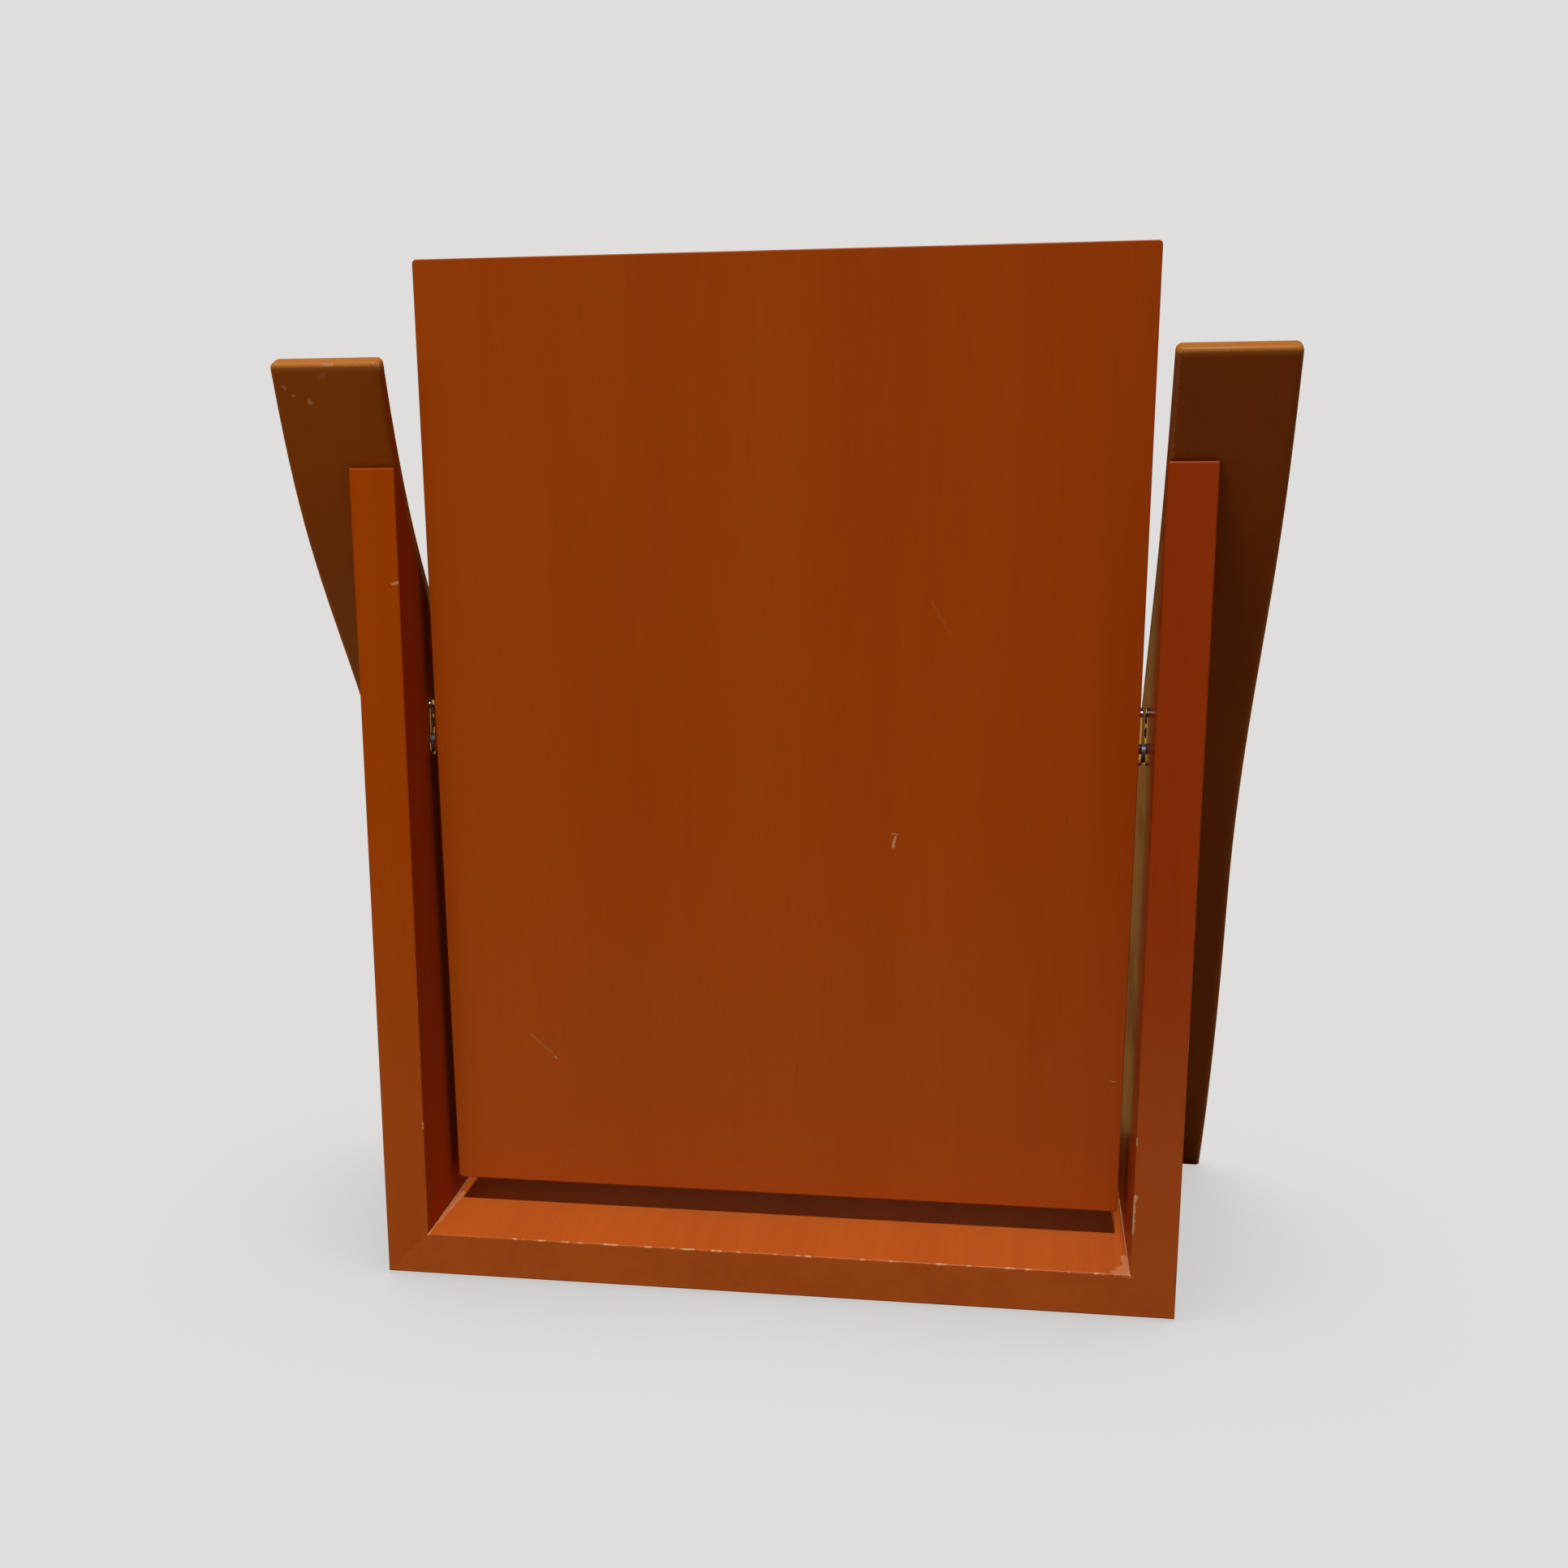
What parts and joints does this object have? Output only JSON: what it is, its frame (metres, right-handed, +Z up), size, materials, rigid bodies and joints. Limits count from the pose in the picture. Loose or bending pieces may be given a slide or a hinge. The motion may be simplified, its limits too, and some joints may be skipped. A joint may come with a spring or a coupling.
{
  "type": "tilting vanity mirror",
  "caption": "Free-standing wooden vanity mirror: a framed glass pivots between two upright side boards on a base, with curved slats on their front edges.",
  "frame": {"origin": "middle of the object's outline on the surface it stands on", "axes": "+Z up, -Y the way the glass faces, +X to the right of a person who looks into the glass"},
  "size_m": [0.583, 0.2984, 0.6416],
  "materials": {
    "stand_veneer": "orange-brown stained cherry veneer, semi-gloss lacquer",
    "slat_veneer": "brown stained bent plywood, semi-gloss lacquer",
    "mirror_back_veneer": "orange-brown stained cherry veneer, semi-gloss lacquer",
    "frame_wood": "orange-brown stained cherry, semi-gloss lacquer",
    "silvered_glass": "silvered float glass, seamed edge",
    "chrome_plate": "bright chrome plate",
    "chrome_screw": "bright chrome plate",
    "steel_pin": "turned steel",
    "brass_bush": "turned brass",
    "nylon_washer": "dark brown nylon",
    "beech": "plain beech, glued in",
    "felt": "brown pressed felt",
    "tape": "foam tape"
  },
  "bodies": {
    "stand": {"base_board": "stand_veneer", "side_board_right": "stand_veneer", "side_board_left": "stand_veneer", "curved_slat_right": "slat_veneer", "curved_slat_left": "slat_veneer", "pivot_plate_right": "chrome_plate", "pivot_plate_left": "chrome_plate", "pivot_plate_screws_right": "chrome_screw", "pivot_plate_screws_left": "chrome_screw", "pivot_pin_right": "steel_pin", "pivot_pin_left": "steel_pin", "friction_washer_right": "nylon_washer", "friction_washer_left": "nylon_washer", "corner_biscuits_right": "beech", "corner_biscuits_left": "beech", "slat_dowels_right": "beech", "slat_dowels_left": "beech", "felt_pads": "felt"},
    "mirror": {"mirror_back_board": "mirror_back_veneer", "mirror_glass": "silvered_glass", "mounting_tape": "tape", "frame_strip_top": "frame_wood", "frame_strip_bottom": "frame_wood", "frame_strip_left": "frame_wood", "frame_strip_right": "frame_wood", "mirror_plate_right": "chrome_plate", "mirror_plate_left": "chrome_plate", "mirror_plate_screws_right": "chrome_screw", "mirror_plate_screws_left": "chrome_screw", "pivot_bush_right": "brass_bush", "pivot_bush_left": "brass_bush"}
  },
  "joints": [
    {"name": "mirror_tilt", "type": "hinge", "parent": "stand", "child": "mirror", "pos_m": [0, 0.07655, 0.3468], "axis": [1, 0, 0], "continuous": true}
  ]
}
